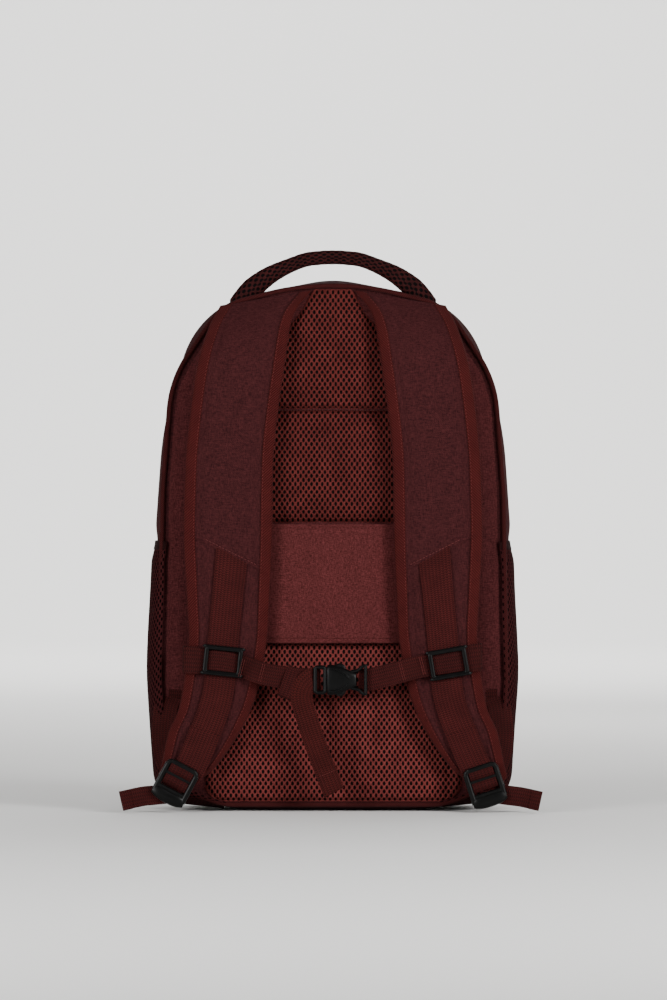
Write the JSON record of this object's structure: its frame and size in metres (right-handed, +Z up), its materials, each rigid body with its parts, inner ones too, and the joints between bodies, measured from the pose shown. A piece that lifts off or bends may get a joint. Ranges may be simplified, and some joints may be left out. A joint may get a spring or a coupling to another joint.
{
  "type": "travel backpack",
  "caption": "Travel backpack with clamshell lid, air-mesh back, trolley sleeve, padded shoulder straps, chest strap and padded grab handle.",
  "frame": {"origin": "on the floor under the middle of the flat base", "axes": "+Z up, -Y towards the wearer's back (harness side), +Y towards the clamshell lid, +X to the right as seen from the harness side"},
  "size_m": [0.3846, 0.2011, 0.506],
  "materials": {
    "melange_fabric": "matte",
    "air_mesh": "matte",
    "sleeve_fabric": "matte",
    "piping": "matte",
    "stretch_mesh": "matte",
    "elastic": "matte",
    "webbing": "matte",
    "moulded_acetal": "satin",
    "zip_tape": "matte",
    "zip_metal": "satin",
    "lining": "matte",
    "stiffener": "matte"
  },
  "bodies": {
    "root": {"main_shell": "melange_fabric", "frame_sheet": "stiffener", "back_panel": "melange_fabric", "back_piping": "piping", "back_pad_upper": "air_mesh", "back_pad_middle": "air_mesh", "back_pad_lower": "air_mesh", "trolley_sleeve": "sleeve_fabric", "laptop_sleeve": "lining", "base_board": "stiffener", "main_zip_shell_half": "zip_tape", "lid_hinge_fabric": "melange_fabric", "side_pocket_left": "stretch_mesh", "side_pocket_left_binding": "elastic", "side_pocket_right": "stretch_mesh", "side_pocket_right_binding": "elastic", "lower_webbing_left": "webbing", "lower_webbing_right": "webbing", "anchor_tab_left": "webbing", "anchor_tab_right": "webbing"},
    "lid": {"main_zip_lid_half": "zip_tape", "front_lid": "melange_fabric", "lid_mesh_divider": "stretch_mesh", "front_pocket": "melange_fabric", "front_pocket_zip": "zip_tape", "quick_pocket_zip": "zip_tape"},
    "handle": {"top_handle": "air_mesh"},
    "strap_left": {"shoulder_strap_left": "melange_fabric", "strap_webbing_left": "webbing"},
    "strap_right": {"shoulder_strap_right": "melange_fabric", "strap_webbing_right": "webbing"},
    "chest_slider_left": {"sternum_slider_left": "moulded_acetal", "chest_webbing_left": "webbing"},
    "chest_slider_right": {"sternum_slider_right": "moulded_acetal", "chest_webbing_right": "webbing", "buckle_socket": "moulded_acetal"},
    "plug": {"buckle_plug": "moulded_acetal", "chest_keeper": "elastic", "chest_tail": "webbing"},
    "prong_upper": {"buckle_prong_upper": "moulded_acetal"},
    "prong_lower": {"buckle_prong_lower": "moulded_acetal"},
    "lock_left": {"ladder_lock_left": "moulded_acetal", "webbing_tail_left": "webbing"},
    "lock_right": {"ladder_lock_right": "moulded_acetal", "webbing_tail_right": "webbing"},
    "zip_slider_upper": {"main_zip_slider_upper": "zip_metal"},
    "zip_tab_upper": {"main_zip_slider_upper_tab": "zip_metal"},
    "zip_slider_lower": {"main_zip_slider_lower": "zip_metal"},
    "zip_tab_lower": {"main_zip_slider_lower_tab": "zip_metal"},
    "front_slider": {"front_zip_slider": "zip_metal"},
    "front_tab": {"front_zip_slider_tab": "zip_metal"},
    "quick_slider": {"quick_zip_slider": "zip_metal"},
    "quick_tab": {"quick_zip_slider_tab": "zip_metal"}
  },
  "joints": [
    {"name": "handle_fold", "type": "hinge", "parent": "root", "child": "handle", "pos_m": [0, -0.062, 0.4735], "axis": [1, 0, 0], "range_deg": [0, 60]},
    {"name": "lid_swing", "type": "hinge", "parent": "root", "child": "lid", "pos_m": [0, 0.03, 0.006], "axis": [-1, 0, 0], "range_deg": [0, 82], "deforming": ["lid_hinge_fabric"]},
    {"name": "strap_lift_left", "type": "hinge", "parent": "root", "child": "strap_left", "pos_m": [0, -0.076, 0.466], "axis": [-1, 0, 0], "range_deg": [0, 5], "deforming": ["lower_webbing_left"]},
    {"name": "strap_lift_right", "type": "hinge", "parent": "root", "child": "strap_right", "pos_m": [0, -0.076, 0.466], "axis": [-1, 0, 0], "range_deg": [0, 5], "deforming": ["lower_webbing_right"]},
    {"name": "chest_height_left", "type": "slide", "parent": "strap_left", "child": "chest_slider_left", "axis": [0, 0, 1], "range_m": [-0.015, 0.04]},
    {"name": "chest_height_right", "type": "slide", "parent": "strap_right", "child": "chest_slider_right", "axis": [0, 0, 1], "range_m": [-0.015, 0.04]},
    {"name": "buckle_release", "type": "slide", "parent": "chest_slider_left", "child": "plug", "axis": [-1, 0, 0], "range_m": [0, 0.018], "deforming": ["chest_webbing_left"]},
    {"name": "prong_squeeze_upper", "type": "hinge", "parent": "plug", "child": "prong_upper", "pos_m": [-0.0054, -0.1153, 0.1261], "axis": [0, 1, 0], "range_deg": [0, 10], "stiffness_Nm_per_rad": 0.02},
    {"name": "prong_squeeze_lower", "type": "hinge", "parent": "plug", "child": "prong_lower", "pos_m": [-0.0054, -0.1153, 0.1131], "axis": [0, -1, 0], "range_deg": [0, 10], "stiffness_Nm_per_rad": 0.02},
    {"name": "lock_tilt_left", "type": "hinge", "parent": "strap_left", "child": "lock_left", "pos_m": [-0.13328, -0.109, 0.04245], "axis": [-0.8829, 0, 0.4695], "range_deg": [0, 30]},
    {"name": "lock_tilt_right", "type": "hinge", "parent": "strap_right", "child": "lock_right", "pos_m": [0.13109, -0.109, 0.04164], "axis": [-0.9511, 0, -0.309], "range_deg": [0, 30]},
    {"name": "zip_open_upper", "type": "slide", "parent": "root", "child": "zip_slider_upper", "axis": [-0.0181, 0, 0.9998], "range_m": [0, 0.065]},
    {"name": "zip_open_lower", "type": "slide", "parent": "root", "child": "zip_slider_lower", "axis": [0.0181, 0, -0.9998], "range_m": [0, 0.075]},
    {"name": "zip_tab_upper_flip", "type": "hinge", "parent": "zip_slider_upper", "child": "zip_tab_upper", "pos_m": [0.1602, 0.0298, 0.2168], "axis": [0, -1, 0], "range_deg": [0, 150]},
    {"name": "zip_tab_lower_flip", "type": "hinge", "parent": "zip_slider_lower", "child": "zip_tab_lower", "pos_m": [0.16071, 0.0298, 0.1888], "axis": [0, -1, 0], "range_deg": [0, 150]},
    {"name": "front_zip_open", "type": "slide", "parent": "lid", "child": "front_slider", "axis": [-1, 0, 0], "range_m": [0, 0.184]},
    {"name": "quick_zip_open", "type": "slide", "parent": "lid", "child": "quick_slider", "axis": [-1, 0, 0], "range_m": [0, 0.108]},
    {"name": "front_tab_flip", "type": "hinge", "parent": "front_slider", "child": "front_tab", "pos_m": [0.092, 0.08015, 0.2832], "axis": [1, 0, 0], "range_deg": [0, 150]},
    {"name": "quick_tab_flip", "type": "hinge", "parent": "quick_slider", "child": "quick_tab", "pos_m": [0.054, 0.06615, 0.3722], "axis": [1, 0, 0], "range_deg": [0, 150]}
  ],
  "couplings": [
    {"joint": "strap_lift_right", "follows": "strap_lift_left", "ratio": 1},
    {"joint": "chest_height_right", "follows": "chest_height_left", "ratio": 1},
    {"joint": "prong_squeeze_lower", "follows": "prong_squeeze_upper", "ratio": 1}
  ]
}
